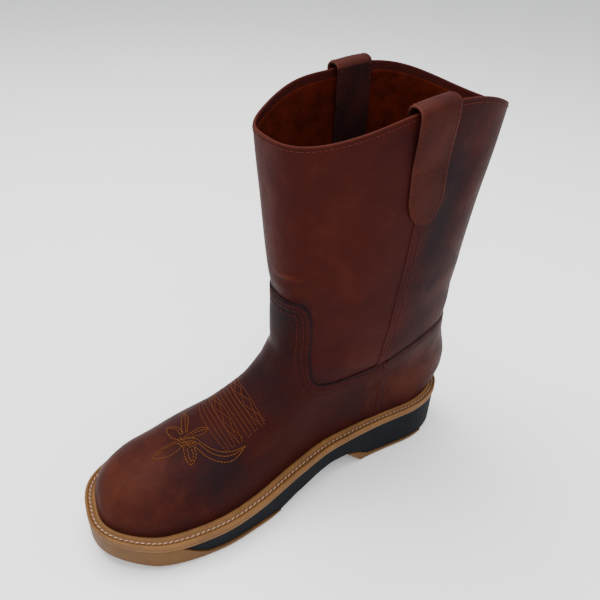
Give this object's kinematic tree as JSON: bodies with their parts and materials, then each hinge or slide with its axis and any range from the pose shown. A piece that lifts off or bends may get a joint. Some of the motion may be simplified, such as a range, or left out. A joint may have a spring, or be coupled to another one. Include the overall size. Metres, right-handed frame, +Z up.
{
  "type": "western work boot",
  "caption": "Pull-on leather work boot for the right foot: broad square toe, scalloped collar, pull straps, stitched welt and black wedge over a tan rubber tread.",
  "frame": {"origin": "on the floor, under the middle of the heel tread", "axes": "+Z up, +X towards the toe, +Y towards the inner side of the right foot"},
  "size_m": [0.3065, 0.1138, 0.3016],
  "materials": {
    "leather": "oily reddish brown pull-up leather, soft gloss",
    "overlay_leather": "the same leather over the vamp and counter, a little lighter",
    "strap_leather": "soft leather with stitched edges",
    "welt_tan": "tan welt and midsole edge, matt",
    "gum_rubber": "tan gum rubber, matt",
    "black_foam": "dark blue black sponge rubber, matt",
    "insole_board": "brown insole, matt"
  },
  "bodies": {
    "root": {"heel_counter": "overlay_leather", "heel_tread": "gum_rubber", "insole": "insole_board", "midsole": "welt_tan", "outsole": "gum_rubber", "pull_strap_inner": "strap_leather", "pull_strap_outer": "strap_leather", "side_seam_inner": "leather", "side_seam_outer": "leather", "upper": "leather", "vamp": "overlay_leather", "wedge": "black_foam", "welt": "welt_tan"}
  },
  "joints": []
}
